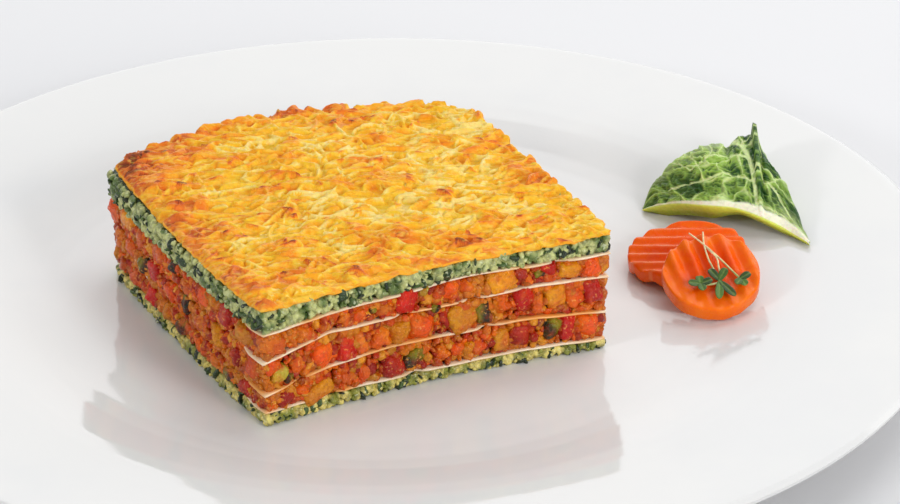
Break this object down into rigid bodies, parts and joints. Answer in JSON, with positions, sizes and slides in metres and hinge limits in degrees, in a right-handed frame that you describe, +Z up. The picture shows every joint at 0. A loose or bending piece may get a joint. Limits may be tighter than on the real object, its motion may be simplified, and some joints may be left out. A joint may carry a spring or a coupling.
{
  "type": "vegetable lasagne slice",
  "caption": "Cut slice of layered vegetable lasagne with a browned cheese crust, served on a round plate with a leaf, carrot slices and cress.",
  "frame": {"origin": "centre of the plate's foot ring, on the surface that the plate stands on", "axes": "+Z up, along the plate's axis; the garnish lies on the +X side of the slice, and the slice's front corner points towards -Y"},
  "size_m": [0.3, 0.3, 0.0479],
  "materials": {
    "porcelain": "glossy white glaze",
    "browned_cheese": "baked, slightly greasy",
    "creamed_spinach": "moist",
    "pasta": "moist",
    "vegetable_filling": "wet",
    "leaf_green": "waxy",
    "carrot": "wet",
    "cress": "soft"
  },
  "bodies": {
    "root": {"plate": "porcelain", "spinach_layer_bottom": "creamed_spinach", "pasta_sheet_4": "pasta", "ragout_layer_3": "vegetable_filling", "pasta_sheet_3": "pasta", "ragout_layer_2": "vegetable_filling", "pasta_sheet_2": "pasta", "ragout_layer_1": "vegetable_filling", "pasta_sheet_1": "pasta", "spinach_layer_top": "creamed_spinach", "cheese_crust": "browned_cheese", "leaf": "leaf_green", "carrot_slice_back": "carrot", "carrot_slice_front": "carrot", "cress": "cress"}
  },
  "joints": []
}
